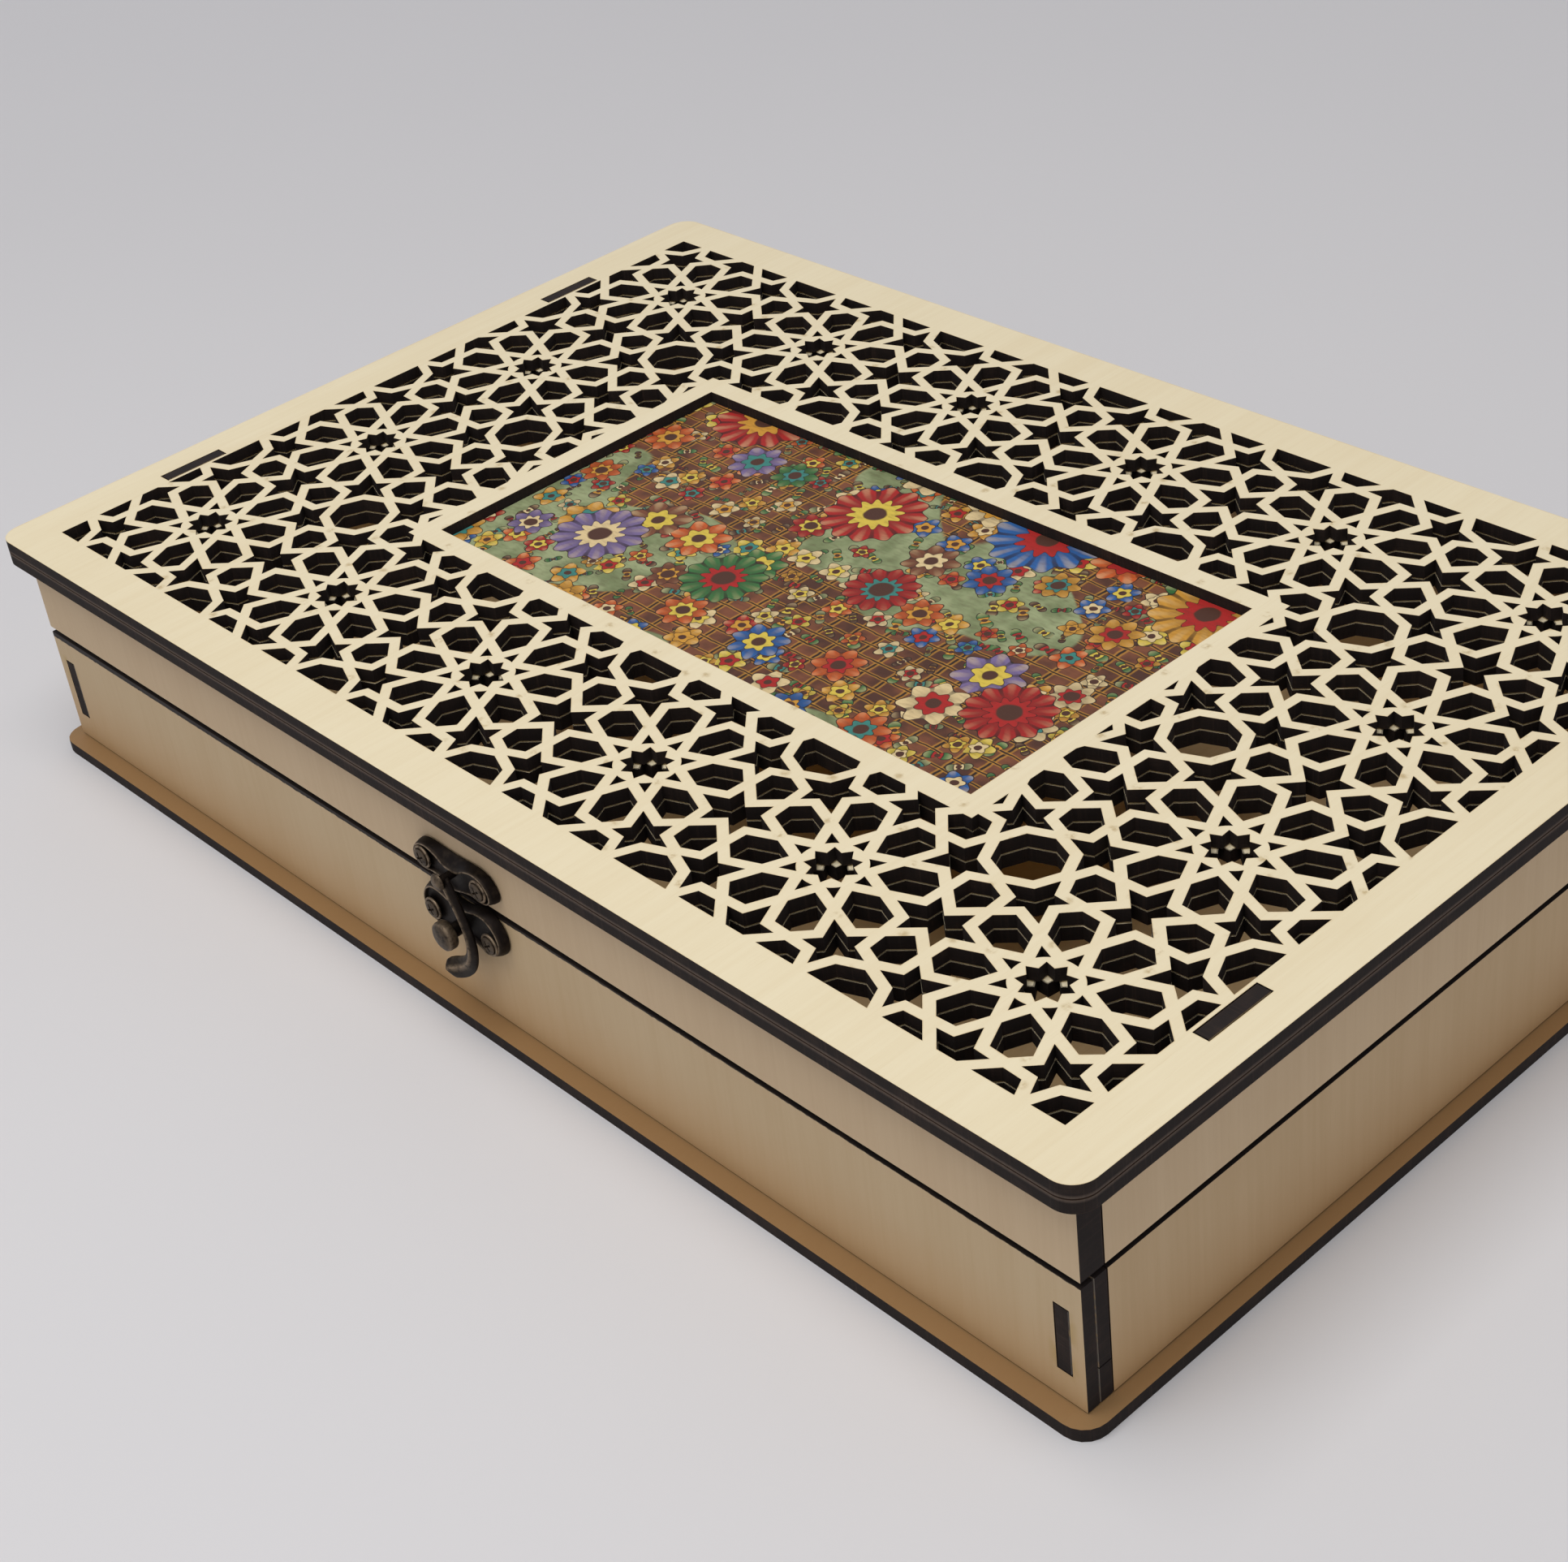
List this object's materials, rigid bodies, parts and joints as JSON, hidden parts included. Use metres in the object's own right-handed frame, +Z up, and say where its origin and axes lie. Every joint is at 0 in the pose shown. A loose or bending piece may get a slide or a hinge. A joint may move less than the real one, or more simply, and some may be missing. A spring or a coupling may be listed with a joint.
{
  "type": "gift box",
  "caption": "Flat laser-cut plywood keepsake box with an openwork star-lattice lid, a framed picture panel, a swinging hook latch in front and hinges at the back.",
  "frame": {"origin": "centre of the base plate's underside, on the table", "axes": "+X along the length to the right seen from the front, +Y to the hinged back, +Z up"},
  "size_m": [0.32, 0.2083, 0.0561],
  "materials": {
    "plywood": "sanded plywood face with darkened laser-cut edges",
    "wall_plywood": "plywood face, slightly toned, with darkened laser-cut edges",
    "antique_bronze": "antique bronze, lighter where it is rubbed",
    "dark_screws": "antique bronze screw",
    "printed_card": "printed card, satin"
  },
  "bodies": {
    "base": {"base_back_liner_lower": "wall_plywood", "base_back_liner_upper": "wall_plywood", "base_back_skin": "wall_plywood", "base_front_liner_lower": "wall_plywood", "base_front_liner_upper": "wall_plywood", "base_front_skin": "wall_plywood", "base_left_skin": "wall_plywood", "base_left_wall": "plywood", "base_plate": "plywood", "base_right_skin": "wall_plywood", "base_right_wall": "plywood", "hinge_base_screw_left_a": "dark_screws", "hinge_base_screw_left_b": "dark_screws", "hinge_base_screw_right_a": "dark_screws", "hinge_base_screw_right_b": "dark_screws", "hinge_left_base_leaf": "antique_bronze", "hinge_left_pin": "antique_bronze", "hinge_right_base_leaf": "antique_bronze", "hinge_right_pin": "antique_bronze", "latch_knob": "antique_bronze", "latch_lower_plate": "antique_bronze", "latch_lower_screw_left": "dark_screws", "latch_lower_screw_right": "dark_screws"},
    "lid": {"hinge_left_lid_leaf": "antique_bronze", "hinge_lid_screw_left_a": "dark_screws", "hinge_lid_screw_left_b": "dark_screws", "hinge_lid_screw_right_a": "dark_screws", "hinge_lid_screw_right_b": "dark_screws", "hinge_right_lid_leaf": "antique_bronze", "latch_pivot_rivet": "antique_bronze", "latch_upper_plate": "antique_bronze", "latch_upper_screw_left": "dark_screws", "latch_upper_screw_right": "dark_screws", "lid_back_wall": "wall_plywood", "lid_front_wall": "wall_plywood", "lid_left_skin": "wall_plywood", "lid_left_wall": "plywood", "lid_right_skin": "wall_plywood", "lid_right_wall": "plywood", "lid_top_lattice": "plywood", "lid_under_lattice": "plywood", "picture_card": "printed_card"},
    "hook": {"latch_hook": "antique_bronze"}
  },
  "joints": [
    {"name": "lid_hinge", "type": "hinge", "parent": "base", "child": "lid", "pos_m": [0, 0.1001, 0.03132], "axis": [-1, 0, 0], "range_deg": [0, 175]},
    {"name": "hook_pivot", "type": "hinge", "parent": "lid", "child": "hook", "pos_m": [0.0005, -0.1018, 0.0374], "axis": [0, -1, 0], "range_deg": [0, 100]}
  ]
}
